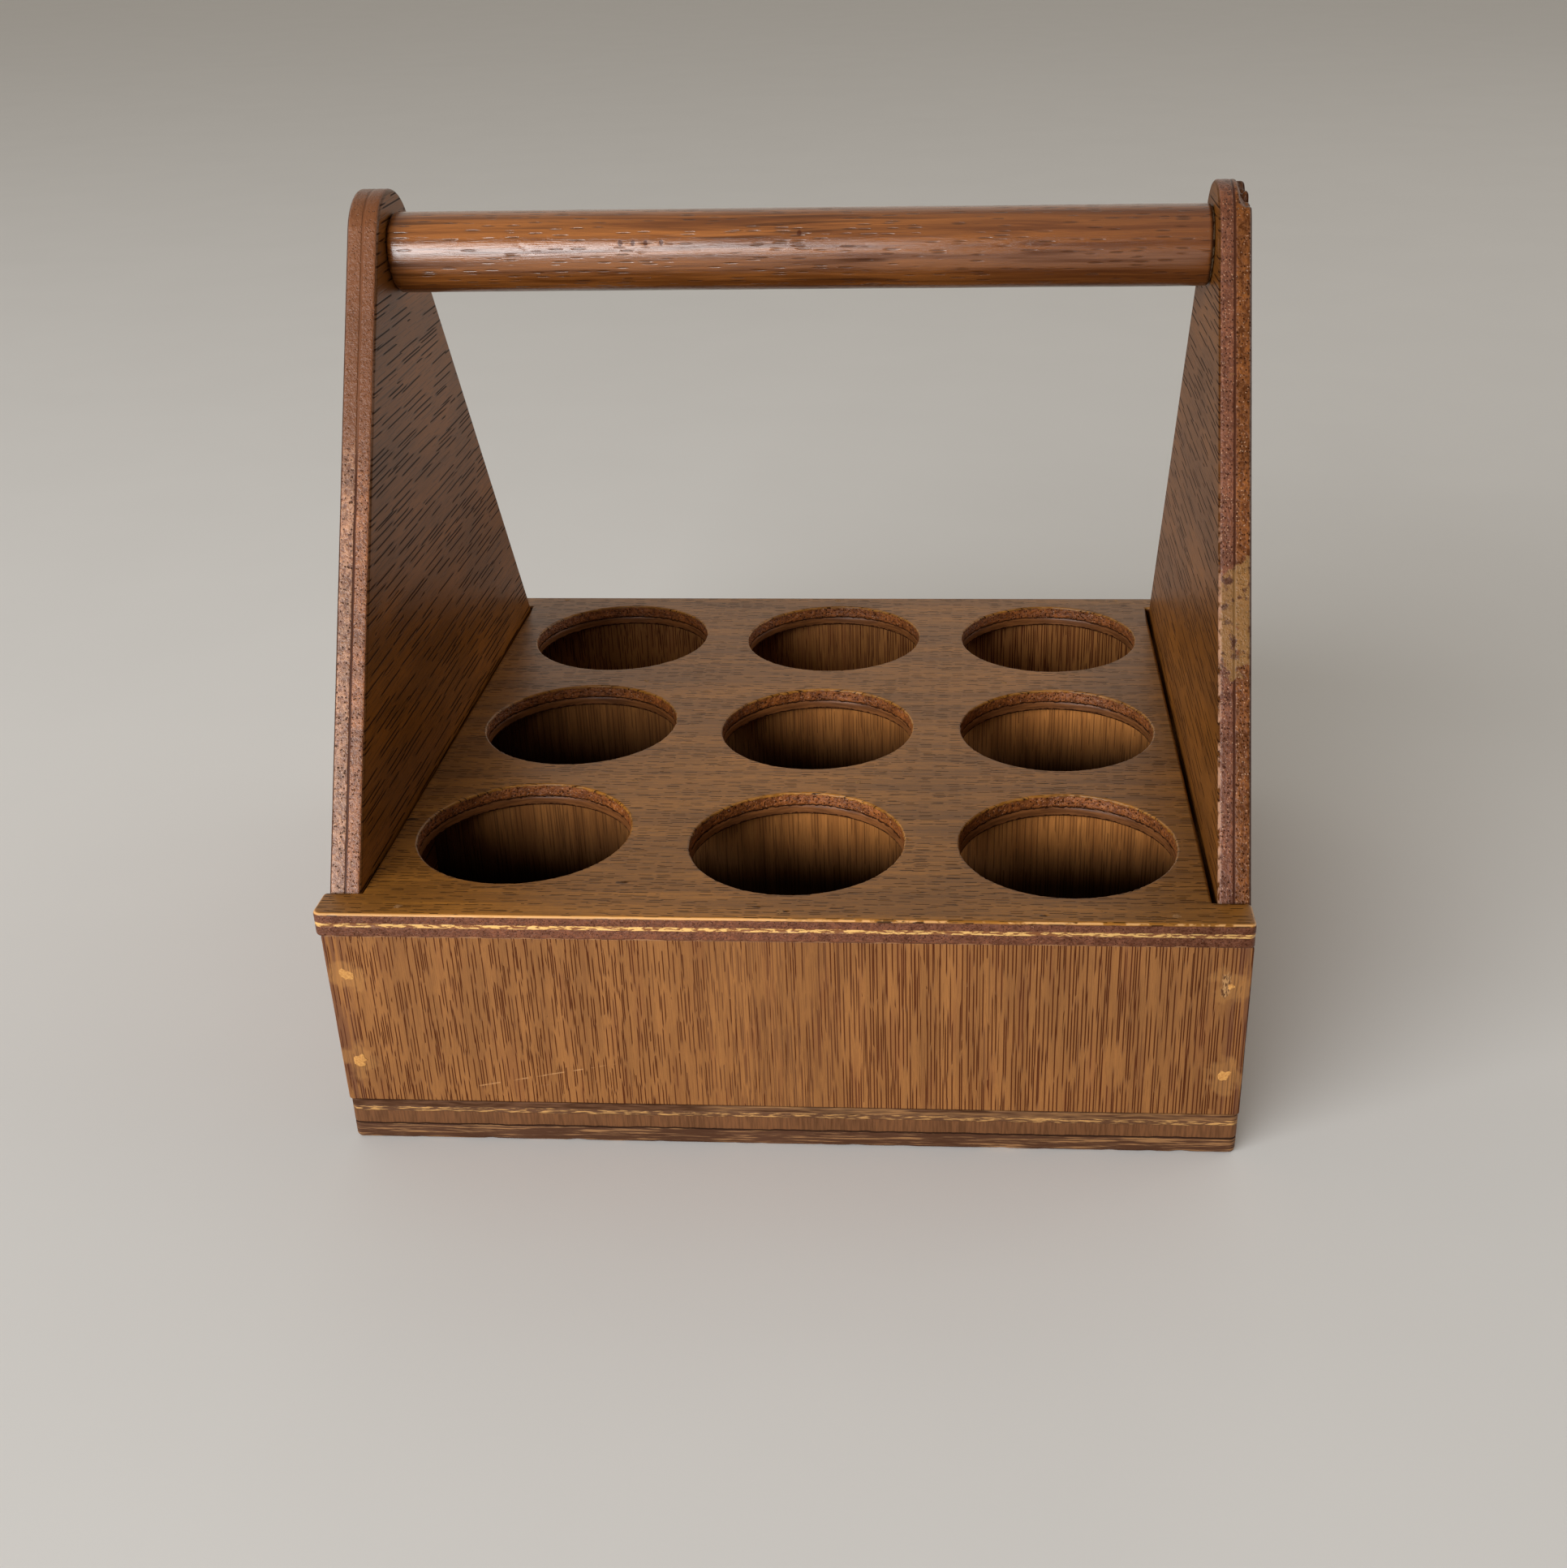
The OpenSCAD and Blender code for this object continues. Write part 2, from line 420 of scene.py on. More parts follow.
class Graph:
    """Builds a material's nodes. Values may be numbers, colours or other nodes' outputs.
    Coordinates are millimetres along the grain, across it, and through the board."""

    def __init__(self, name, along=X, across=Y, through=Z, top=0.0, seed=0.0):
        self.material = bpy.data.materials.new(name)
        self.material.use_nodes = True
        self.tree = self.material.node_tree
        self.tree.nodes.clear()
        where = self.node("TexCoord").outputs["Object"]
        self.place = self.node("VectorMath", {0: where, 3: 1 / MM}, operation="SCALE").outputs[0]
        self.along = self.dot(self.place, along)
        self.across = self.dot(self.place, across)
        self.depth = self.math("SUBTRACT", top, self.dot(self.place, through))
        self.seed = seed

    def node(self, kind, inputs=None, **settings):
        made = self.tree.nodes.new("ShaderNode" + kind)
        for key, value in settings.items():
            setattr(made, key, value)
        for key, value in (inputs or {}).items():
            if isinstance(value, bpy.types.NodeSocket):
                self.tree.links.new(value, made.inputs[key])
            else:
                made.inputs[key].default_value = value
        return made

    def dot(self, vector, axis):
        return self.node("VectorMath", {0: vector, 1: axis}, operation="DOT_PRODUCT").outputs["Value"]

    def math(self, operation, a, b=0.0, clamp=False):
        return self.node("Math", {0: a, 1: b}, operation=operation, use_clamp=clamp).outputs[0]

    def add(self, a, b):
        return self.math("ADD", a, b)

    def times(self, *factors):
        result = factors[0]
        for factor in factors[1:]:
            result = self.math("MULTIPLY", result, factor)
        return result

    def fade(self, value, low, high, to_low=0.0, to_high=1.0):
        """Goes smoothly from to_low to to_high as value goes from low to high."""
        limits = {0: value, 1: low, 2: high, 3: to_low, 4: to_high}
        return self.node("MapRange", limits, interpolation_type="SMOOTHSTEP").outputs[0]

    def mix(self, share, a, b, blend="MIX"):
        made = self.node("Mix", data_type="RGBA", blend_type=blend, clamp_factor=True)
        for key, value in ((0, share), (6, a), (7, b)):
            if isinstance(value, bpy.types.NodeSocket):
                self.tree.links.new(value, made.inputs[key])
            else:
                made.inputs[key].default_value = value
        return made.outputs[2]

    def between(self, share, a, b):
        """A number that goes from a to b as share goes from 0 to 1."""
        return self.node("Mix", {0: share, 2: a, 3: b}, data_type="FLOAT").outputs[0]

    def shade(self, colour, level):
        """The colour made lighter or darker by a factor."""
        grey = self.node("CombineColor", {0: level, 1: level, 2: level}).outputs[0]
        return self.mix(1.0, colour, grey, "MULTIPLY")

    def grain(self, length, width, thickness=None, across=None):
        """A vector that counts cells of this size along, across and through the wood."""
        parts = {
            0: self.math("DIVIDE", self.along, length),
            1: self.math("DIVIDE", self.across if across is None else across, width),
            2: self.math("DIVIDE", self.depth, thickness or width),
        }
        vector = self.node("CombineXYZ", parts).outputs[0]
        self.seed += 7.31
        shift = {0: vector, 1: (self.seed, self.seed * 1.7, self.seed * 0.6)}
        return self.node("VectorMath", shift, operation="ADD").outputs[0]

    def noise(self, vector, detail=2.0, roughness=0.5):
        limits = {"Vector": vector, "Scale": 1.0, "Detail": detail, "Roughness": roughness}
        return self.node("TexNoise", limits).outputs[0]

    def clouds(self, size, detail=2.0, roughness=0.5):
        """Noise of one size in all directions."""
        return self.noise(self.grain(size, size, size), detail, roughness)

    def dashes(self, length, pitch, width, share, across=None):
        """Long thin pores, one to a cell of this length and pitch, and a share of them open."""
        vector = self.grain(length, pitch, 5 * pitch, across)
        cell = self.node("TexVoronoi", {"Vector": vector, "Scale": 1.0})
        chance = self.node("SeparateColor", {0: cell.outputs["Color"]}).outputs
        away = {0: vector, 1: cell.outputs["Position"]}
        offset = self.node("VectorMath", away, operation="SUBTRACT").outputs[0]
        beyond, beside, _ = self.node("SeparateXYZ", {0: offset}).outputs
        core = self.fade(self.math("ABSOLUTE", beside), 0.75 * width / pitch, 0.25 * width / pitch)
        ends = self.fade(self.math("ABSOLUTE", beyond), 0.55, 0.35)
        is_open = self.fade(chance[0], 1 - share, 1.05 - share)
        return self.times(core, ends, is_open)

    def specks(self, size, share, core=0.42, length=None):
        """Round or long spots, one to a cell of this size, and a share of them there."""
        cells = self.grain(length or size, size, size)
        cell = self.node("TexVoronoi", {"Vector": cells, "Scale": 1.0})
        chance = self.node("SeparateColor", {0: cell.outputs["Color"]}).outputs[0]
        return self.times(
            self.fade(cell.outputs["Distance"], core, 0.5 * core),
            self.fade(chance, 1 - share, 1.04 - share),
        )

    def spot(self, centre, size, ragged=0.0, lumps=2.0):
        """1 inside an oval about a place in the frame, falling to 0 at its edge."""
        away = self.node("VectorMath", {0: self.place, 1: centre}, operation="SUBTRACT").outputs[0]
        scaled = self.node("VectorMath", {0: away, 1: size}, operation="DIVIDE").outputs[0]
        out = self.node("VectorMath", {0: scaled}, operation="LENGTH").outputs["Value"]
        if ragged:
            uneven = self.math("SUBTRACT", self.clouds(lumps), 0.5)
            out = self.add(out, self.times(uneven, ragged))
        return self.fade(out, 1.0, 0.6)

    def scratch(self, start, end, width):
        """1 along a thin straight mark, which is broken here and there."""
        onward = (end - start).normalized()
        away = self.node("VectorMath", {0: self.place, 1: start}, operation="SUBTRACT").outputs[0]
        reached = self.dot(away, onward)
        across = self.node("VectorMath", {0: away, 1: onward}, operation="CROSS_PRODUCT").outputs[0]
        beside = self.node("VectorMath", {0: across}, operation="LENGTH").outputs["Value"]
        length = (end - start).length
        on_it = self.times(self.fade(beside, width, 0.4 * width),
                           self.fade(reached, 0, 2), self.fade(reached, length, length - 2))
        return self.times(on_it, self.fade(self.clouds(4.0), 0.4, 0.55))

    def arris(self):
        """1 in the middle of the rounded arrises, 0 on the faces."""
        return self.node("Attribute", attribute_name="arris").outputs["Fac"]

    def wood(self, colour, roughness, height, specular=0.4):
        """A varnished surface whose dark open pores have lost their shine."""
        brightness = self.node("RGBToBW", {0: colour}).outputs[0]
        shine = self.times(specular, self.fade(brightness, 0.015, 0.06, 0.1, 1.0))
        return self.finish(colour, roughness, height, shine)

    def finish(self, colour, roughness, height=None, specular=0.4, metallic=0.0):
        """The surface: height is in millimetres."""
        inputs = {"Base Color": colour, "Roughness": roughness, "Metallic": metallic,
                  "Specular IOR Level": specular}
        if height is not None:
            inputs["Normal"] = self.node("Bump", {"Height": height, "Distance": MM}).outputs[0]
        surface = self.node("BsdfPrincipled", inputs)
        self.node("OutputMaterial", {"Surface": surface.outputs[0]})
        return self.material


class Look:
    """How a veneer looks: its colours, and the size, number and depth of its pores."""

    def __init__(self, pale, deep, pore, length=14.0, pitch=1.4, width=0.5, share=0.6,
                 tone_width=5.0, wander=1.5, strength=0.85, streaks=0.5, fine=0.4):
        self.pale = pale
        self.deep = deep
        self.pore = pore
        self.length = length
        self.pitch = pitch
        self.width = width
        self.share = share
        self.tone_width = tone_width
        self.wander = wander
        self.strength = strength
        self.streaks = streaks
        self.fine = fine


def veneer(g, look, long_share=None):
    """The face of a veneer: its colour and its height in millimetres. Where long_share
    is given, that share of the face has long pores in place of the short ones."""
    drift = g.math("SUBTRACT", g.noise(g.grain(110, 26, 60)), 0.5)
    across = g.add(g.across, g.times(drift, 2 * look.wander))
    tone = g.noise(g.grain(90, look.tone_width, 30, across), 3)
    streak = g.noise(g.grain(30, 1.1, 3.0, across), 2)
    fibre = g.noise(g.grain(7, 0.3, 1.0, across), 2, 0.6)
    colour = g.mix(g.fade(tone, 0.36, 0.64), look.pale, look.deep)
    swing = 0.3 * look.streaks
    colour = g.shade(colour, g.fade(streak, 0.3, 0.7, 1 + swing, 1 - swing))
    colour = g.shade(colour, g.fade(fibre, 0.3, 0.7, 1 + swing, 1 - swing))
    pores = g.dashes(look.length, look.pitch, look.width, look.share, across)
    if long_share is not None:
        longer = g.dashes(2 * look.length, look.pitch, 1.15 * look.width, 0.85, across)
        pores = g.between(long_share, pores, longer)
    fine = g.dashes(0.4 * look.length, 0.7 * look.pitch, 0.6 * look.width, look.share, across)
    open_pores = g.math("MAXIMUM", pores, g.times(fine, look.fine))
    colour = g.mix(g.times(open_pores, look.strength), colour, look.pore)
    height = g.add(g.times(open_pores, -0.06), g.times(fibre, 0.03))
    return colour, height


def end_grain(g, pale, deep, pore, size=0.7, pore_share=0.4, painted_glint_share=0.2):
    """The ends of a ply's fibres: a fine mottle with round pores, and small bright glints on rough spots
    that are painted highlights.
    """
    mottle = g.noise(g.grain(size * 1.8, size * 1.8, size * 1.2), 3, 0.7)
    pores = g.specks(size, pore_share)
    painted_glint = g.specks(0.8 * size, painted_glint_share, 0.4)
    colour = g.mix(g.fade(mottle, 0.38, 0.62), deep, pale)
    colour = g.shade(colour, g.fade(g.clouds(6 * size, 2), 0.3, 0.7, 0.75, 1.15))
    colour = g.mix(g.times(pores, 0.8), colour, pore)
    # Painted highlight: pale glint specks mixed into the colour.
    colour = g.mix(g.times(painted_glint, 0.5), colour, srgb(206, 160, 124))
    height = g.add(g.times(mottle, 0.3), g.times(pores, -0.15))
    return colour, height


def long_grain(g, pale, deep, width=0.5):
    """The side of a ply's fibres: streaks that run along the board's edge."""
    streak = g.noise(g.grain(9, 9, width), 3, 0.6)
    return g.mix(g.fade(streak, 0.35, 0.65), deep, pale), g.times(streak, 0.06)


def chippy(g, deep, pale, size, width, low=0.48, high=0.6):
    """A pale line of broken wood: short ragged flakes along a ply's edge."""
    flakes = g.noise(g.grain(size, size, width), 3, 0.6)
    return g.mix(g.fade(flakes, low, high), deep, pale), g.times(flakes, 0.3)


def stack(g, layers, ragged=0.25, blur=0.12, lump=5.0):
    """Plies by depth: layers is a list of (depth where it starts, (colour, height))."""
    depth = g.add(g.depth, g.times(g.math("SUBTRACT", g.clouds(lump), 0.5), ragged))
    colour, height = layers[0][1]
    for start, (next_colour, next_height) in layers[1:]:
        share = g.fade(depth, start - blur, start + blur)
        colour = g.mix(share, colour, next_colour)
        height = g.between(share, height, next_height)
    return colour, height


def grimy(g, colour, size, darkest=0.86, lightest=1.08):
    """The colour under uneven handling dirt."""
    return g.shade(colour, g.fade(g.clouds(size, 3), 0.3, 0.7, darkest, lightest))


def deck_material():
    g = Graph("deck_ply", along=X, across=Y, through=Z, top=deck.high.z, seed=1.0)
    look = Look(srgb(155, 100, 35), srgb(131, 83, 28), srgb(44, 24, 8), length=5.0, pitch=1.2,
                width=0.34, share=0.45, tone_width=6.0, strength=0.95, streaks=0.45)
    face, face_height = veneer(g, look)
    face_height = g.times(face_height, 0.5)
    red_brown = end_grain(g, srgb(112, 64, 38), srgb(90, 49, 30), srgb(58, 31, 20), 0.5, 0.3, 0.04)
    edge = stack(g, [
        (0, (face, face_height)),
        (0.8, red_brown),
        (3.3, chippy(g, srgb(122, 74, 38), srgb(212, 166, 98), 3.6, 0.8, 0.47, 0.53)),
        (4.6, red_brown),
        (7.6, chippy(g, srgb(84, 48, 26), srgb(170, 122, 76), 5.0, 0.5)),
    ], ragged=0.3)
    orange = end_grain(g, srgb(152, 88, 41), srgb(108, 58, 26), srgb(54, 26, 12), 0.9, 0.5, 0.14)
    orange = (orange[0], g.times(orange[1], 2.5))
    smooth = long_grain(g, srgb(130, 80, 42), srgb(98, 58, 29), 0.8)
    bore = stack(g, [
        (0, (face, face_height)),
        (0.8, orange),
        (4.5, (srgb(48, 26, 14), 0.0)),
        (4.9, smooth),
        (7.4, (srgb(52, 28, 14), 0.0)),
    ], ragged=1.3, lump=1.8)
    x, y, _ = g.node("SeparateXYZ", {0: g.place}).outputs
    beside = g.math("DIVIDE", g.math("ABSOLUTE", x), deck.high.x)
    before = g.math("DIVIDE", g.math("ABSOLUTE", y), deck.high.y)
    outside = g.fade(g.math("MAXIMUM", beside, before), 0.95, 0.97)
    colour = g.mix(outside, bore[0], edge[0])
    height = g.between(outside, bore[1], edge[1])
    underside = g.fade(g.depth, deck.size.z - 0.1, deck.size.z - 0.02)
    colour = g.mix(underside, colour, face)
    height = g.between(underside, height, face_height)
    # Pale line along the arrises: partly worn bare wood, partly a painted highlight; broken towards the
    # right and round the holes, and fainter in the holes.
    rim = g.times(g.fade(g.arris(), 0.6, 0.95), g.fade(g.depth, 1.4, 0.7))
    broken = g.fade(g.noise(g.grain(5, 5, 3), 3, 0.6), 0.46, 0.56)
    partly = g.math("MAXIMUM", g.fade(x, -20, 40), g.math("SUBTRACT", 1.0, outside))
    rim = g.times(rim, g.between(partly, 1.0, broken), g.between(outside, 0.2, 0.9))
    colour = g.mix(rim, colour, srgb(222, 166, 104))
    dirt = g.spot(deck.at(0.05, 0.23, 1), (3, 1.2, 2), 1.2)
    for place, size in (
        ((0.323, 0.079, 1), (2.6, 0.9, 2)), ((0.476, 0.027, 1), (1.6, 0.6, 2)),
        ((0.507, 0.017, 1), (1.4, 0.5, 2)), ((0.78, 0.015, 1), (1.6, 0.7, 2)),
    ):
        dirt = g.math("MAXIMUM", dirt, g.spot(deck.at(*place), size, 0.8, 1.0))
    colour = g.mix(g.times(dirt, 0.8), colour, srgb(44, 26, 16))
    # Darker beside the end boards: painted shade, with some dirt.
    beside_ends = g.add(g.math("ABSOLUTE", x), g.times(g.clouds(25), 24))
    colour = g.shade(colour, g.fade(beside_ends, 100, 132, 1.0, 0.84))
    # Painted light and shade: the deck lighter towards its left middle and darker towards its right.
    colour = g.shade(colour, g.fade(x, -60, 110, 1.08, 0.9))
    colour = grimy(g, colour, 50, 0.9, 1.06)
    polished = g.times(g.arris(), outside)
    return g.wood(colour, g.between(polished, 0.4, 0.28), height, specular=0.3)


def panel_material(name, outward, box, seed):
    """The front and back panels: upright grain, with more and longer pores to one side."""
    outer_y = box.low.y if outward.y < 0 else box.high.y
    g = Graph(name, along=Z, across=X, through=outward, top=abs(outer_y), seed=seed)
    look = Look(srgb(142, 92, 45), srgb(130, 83, 39), srgb(72, 32, 11), length=13.0, pitch=0.95,
                width=0.33, share=0.74, tone_width=7.0, wander=0.25, strength=1.0, streaks=0.15,
                fine=0.2)
    face, face_height = veneer(g, look, g.fade(g.across, -50, 40))
    redder = g.fade(g.noise(g.grain(30, 4), 2), 0.52, 0.7)
    face = g.mix(g.times(redder, 0.22), face, srgb(104, 52, 24))
    mauve = g.times(g.fade(g.math("ABSOLUTE", g.across), 131, 137),
                    g.fade(g.noise(g.grain(40, 1.5), 2), 0.42, 0.56))
    face = g.mix(g.times(mauve, 0.6), face, srgb(84, 46, 30))
    for centre in solid_centres(box.node + "_filler"):
        halo = g.spot(Vector((centre.x, outer_y, centre.z)), (6.5, 4, 7.5), 1.6, 5.0)
        face = g.mix(g.times(halo, 0.3), face, srgb(176, 124, 66))
    if outward.y < 0:
        split = g.spot(box.at(0.9735, 0, 0.78), (1.6, 4, 5.5), 1.3, 1.2)
        splinters = g.fade(g.noise(g.grain(2.5, 0.7), 2), 0.45, 0.55)
        face = g.mix(g.times(split, 0.85), face, g.mix(splinters, srgb(74, 42, 22), srgb(176, 132, 84)))
        mark = g.scratch(box.at(0.15, 0, 0.1), box.at(0.312, 0, 0.255), 0.3)
        face = g.mix(g.times(mark, 0.5), face, srgb(196, 146, 96))
    cross = end_grain(g, srgb(124, 78, 44), srgb(98, 58, 32), srgb(60, 32, 18), 0.45)
    side = long_grain(g, srgb(118, 74, 42), srgb(86, 52, 30), 1.2)
    colour, height = stack(g, [(0, (face, face_height)), (0.8, cross), (3.0, side), (5.0, cross),
                               (7.2, (face, face_height))])
    # Painted shade: the panel darker towards its right end, away from the light.
    colour = g.shade(colour, g.fade(g.across, 50, 140, 1.0, 0.88))
    # Painted light: the inner face, seen through the holes, made lighter.
    colour = g.shade(colour, g.fade(g.depth, 7.0, 7.4, 1.0, 1.4))
    return g.wood(grimy(g, colour, 40, 0.92, 1.05), 0.5, height, specular=0.28)


def base_material():
    g = Graph("base_ply", along=X, across=Y, through=Z, top=base.high.z, seed=3.0)
    mauve = long_grain(g, srgb(92, 58, 34), srgb(66, 40, 24), 0.8)
    tan = long_grain(g, srgb(140, 98, 58), srgb(94, 62, 36), 0.6)
    side = g.fade(g.add(g.dot(g.place, X), g.times(g.clouds(30), 40)), -15, 10)
    worn_off = g.times(side, g.fade(g.noise(g.grain(20, 20, 1.2), 2), 0.4, 0.55))
    top = (g.mix(worn_off, mauve[0], tan[0]), mauve[1])
    ribs = g.noise(g.grain(0.7, 0.7, 8), 2)
    thick = (g.mix(g.fade(ribs, 0.3, 0.7), srgb(112, 70, 37), srgb(90, 55, 28)), g.times(ribs, 0.1))
    colour, height = stack(g, [
        (0, top),
        (2.3, chippy(g, srgb(92, 58, 34), srgb(186, 138, 80), 5, 0.5)),
        (4.0, thick),
        (8.6, (srgb(44, 27, 18), 0.0)),
        (9.2, chippy(g, srgb(78, 48, 30), srgb(150, 106, 64), 14, 0.5, 0.5, 0.66)),
    ], ragged=0.9)
    look = Look(srgb(120, 76, 40), srgb(100, 61, 31), srgb(52, 30, 14), length=16.0, pitch=1.5,
                width=0.4, share=0.6, tone_width=9.0)
    face, face_height = veneer(g, look)
    behind_panels = g.fade(g.math("ABSOLUTE", g.across), back.low.y + 0.5, back.low.y)
    in_wells = g.times(behind_panels, g.fade(g.depth, 0.5, 0.2))
    underside = g.fade(g.depth, base.size.z - 0.2, base.size.z - 0.05)
    flat = g.math("MAXIMUM", in_wells, underside)
    colour = g.mix(flat, colour, face)
    height = g.between(flat, height, face_height)
    return g.wood(grimy(g, colour, 30, 0.8, 1.02), 0.6, height, specular=0.25)


def end_material(box, outward, veneer_colours, inner_band, outer_band, seed):
    """An end board: depth is measured from its inner face, towards the outside."""
    inner_x = box.high.x if outward.x < 0 else box.low.x
    name = box.node.replace("board", "ply")
    g = Graph(name, along=Y, across=Z, through=-outward, top=-outward.x * inner_x, seed=seed)
    look = Look(*veneer_colours, srgb(44, 24, 13), length=26.0, pitch=2.4, width=0.6, share=0.7,
                tone_width=14.0, strength=0.95, streaks=0.25)
    face, face_height = veneer(g, look)
    up = g.dot(g.place, Z)
    # A darker strip along the inner face's arris.
    inner_arris_dark = g.times(g.arris(), g.fade(g.depth, 0.8, 0.2))
    face = g.mix(g.times(g.fade(inner_arris_dark, 0.05, 0.4), 0.5), face, srgb(52, 30, 18))
    plies = [
        (0, (face, face_height)),
        (0.5, end_grain(g, *inner_band, 0.75)),
        (4.5, (srgb(70, 38, 24), 0.0)),
        (5.2, end_grain(g, *outer_band, 0.85)),
        (9.4, (srgb(64, 34, 20), 0.0)),
    ]
    colour, height = stack(g, plies, ragged=0.4, blur=0.15)
    colour = g.mix(g.fade(g.depth, 9.86, 9.9), colour, face)
    edge = g.times(g.fade(g.depth, 0.2, 0.8), g.fade(g.depth, 9.6, 9.2))
    if outward.x < 0:
        # The edge turns a darker orange-brown near its top.
        top_of_edge = g.times(edge, g.fade(g.add(up, g.times(g.clouds(12), 40)), 205, 235))
        colour = g.mix(g.times(top_of_edge, 0.88), colour, srgb(108, 62, 31))
        face_sheen = g.fade(up, 130, 250, 0.03, 0.24)
    else:
        # Painted shade: the right board's inner face darker towards its top.
        colour = g.shade(colour, g.between(g.fade(g.depth, 0.8, 0.4), 1.0, g.fade(up, 100, 200, 1.0, 0.82)))
        face_sheen = 0.03
        patch = g.fade(g.math("ABSOLUTE", g.math("SUBTRACT", up, 157)), 22, 6)
        patch = g.fade(g.add(patch, g.times(g.math("SUBTRACT", g.clouds(5, 3), 0.5), 2.6)), 0.5, 0.75)
        patch = g.times(patch, edge)
        stain = g.fade(g.clouds(3.5, 3), 0.55, 0.66)
        worn = g.mix(stain, srgb(140, 101, 54), srgb(72, 46, 32))
        colour = g.mix(g.times(patch, 0.7), colour, worn)
        line = g.times(g.arris(), g.fade(g.depth, 1.4, 0.5), g.fade(g.clouds(4, 3), 0.44, 0.56),
                       g.fade(up, 210, 150))
        colour = g.mix(g.times(line, 0.6), colour, srgb(204, 156, 126))
    sheen = g.between(g.fade(g.depth, 0.0, 1.0), face_sheen, 0.45 if outward.x < 0 else 0.35)
    return g.wood(grimy(g, colour, 35), 0.36, height, specular=sheen)


def divider_material():
    g = Graph("divider_ply", along=Z, across=X, through=Y, top=0.0, seed=8.0)
    look = Look(srgb(164, 106, 52), srgb(144, 90, 42), srgb(84, 48, 20), length=22.0, pitch=1.2,
                width=0.4, share=0.7, tone_width=5.0, wander=0.6, strength=0.6, streaks=0.3)
    colour, height = veneer(g, look)
    # Painted light and shade: the dividers nearly black low down and lighter just under the deck.
    colour = g.shade(colour, g.fade(g.along, 0.58 * deck.low.z, deck.low.z, 0.06, 1.5))
    # Painted shade: the dividers darker towards the left end board.
    colour = g.shade(colour, g.fade(g.across, -110, 60, 0.55, 1.08))
    return g.wood(colour, 0.7, height, specular=0.2)


def handle_material():
    g = Graph("handle_wood", along=X, across=Y, through=Z, top=handle.high.z, seed=5.0)
    drift = g.math("SUBTRACT", g.noise(g.grain(80, 14, 14), 2), 0.5)
    across = g.add(g.across, g.times(drift, 6))
    bands = g.noise(g.grain(80, 2.1, 2.1, across), 3, 0.6)
    fibre = g.noise(g.grain(12, 0.35, 0.35, across), 3, 0.6)
    colour = g.mix(g.fade(bands, 0.35, 0.65), srgb(136, 81, 36), srgb(94, 51, 20))
    dark = g.fade(g.noise(g.grain(70, 1.9, 1.9, across), 1, 0.5), 0.62, 0.72)
    colour = g.mix(g.times(dark, 0.6), colour, srgb(58, 31, 15))
    colour = g.shade(colour, g.fade(fibre, 0.25, 0.75, 1.15, 0.85))
    # Painted shade: the handle darker towards its right end.
    colour = g.mix(g.fade(g.along, -10, 120, 0.0, 0.6), colour, srgb(84, 46, 24))
    # Painted light and shade: the handle lighter on top and darker underneath.
    colour = g.shade(colour, g.fade(g.depth, 2, 20, 1.25, 0.76))
    pores = g.specks(0.8, 0.4, 0.45, length=7)
    colour = g.mix(g.times(pores, 0.6), colour, srgb(60, 34, 18))
    nicks = g.spot(on_handle(*NICKS[0]), (0.9, 0.9, 1.2), 0.6, 1.0)
    for nick in NICKS[1:]:
        nicks = g.math("MAXIMUM", nicks, g.spot(on_handle(*nick), (0.9, 0.9, 1.2), 0.6, 1.0))
    colour = g.mix(g.times(nicks, 0.8), colour, srgb(66, 30, 16))
    joint = g.fade(g.along, handle.high.x - 1.8, handle.high.x - 0.8)
    colour = g.mix(g.times(joint, 0.85), colour, srgb(36, 22, 14))
    tip = Vector((handle.high.x, 0, axis_z))
    glue = g.times(g.spot(tip, (1.1, 20, 20), 0.5, 1.5), g.fade(g.clouds(2.5), 0.46, 0.54))
    colour = g.mix(g.times(glue, 0.7), colour, srgb(150, 138, 112))
    height = g.add(g.times(pores, -0.09), g.times(fibre, 0.07))
    return g.wood(colour, g.fade(fibre, 0.3, 0.7, 0.13, 0.25), height, specular=0.8)


def filler_material(name, pale, deep):
    g = Graph(name, seed=6.0)
    lumps = g.noise(g.grain(0.8, 0.8, 0.8), 3, 0.6)
    colour = g.mix(g.fade(lumps, 0.3, 0.7), deep, pale)
    return g.finish(colour, 0.75, g.times(lumps, 0.15))


def metal_material(name, clean, dull, roughness):
    """Old metal: tarnish in patches and fine scratches."""
    g = Graph(name, seed=9.0)
    tarnish = g.clouds(1.2, 4, 0.65)
    scratches = g.noise(g.grain(3.0, 0.08, 3.0), 2)
    colour = g.mix(g.fade(tarnish, 0.4, 0.65), clean, dull)
    rough = g.add(g.fade(tarnish, 0.3, 0.7, roughness - 0.08, roughness + 0.15),
                  g.times(scratches, 0.08))
    return g.finish(colour, rough, g.times(scratches, 0.02), metallic=1.0)


# Pieces

def edge_wobble(u, v, h, amount=0.05, scale=14.0, seed=0.0):
    return amount * (0.6 + smooth_noise(u / scale, v / scale, h / scale, seed))


def make_base():
    def lost(u, v, h):
        under = max(0.0, 1 - h / 2.5)
        chips = max(0.0, smooth_noise(u / 6, v / 6, h / 5, 4.0) - 0.15)
        seam = math.exp(-((h - base.size.z + 8.9) / 0.3) ** 2)
        return edge_wobble(u, v, h, 0.12, 9.0) + 1.2 * under * chips + 0.15 * seam
    loop = box_outline(base.size.x, base.size.y, 2.4, low_arris=1.6, high_arris=0.35)
    place = placed(X, Y, Z, (base.middle.x, base.middle.y, base.low.z))
    board("base_board", [loop], base.size.z, place, base_material(),
          rows=24, relief=lost)


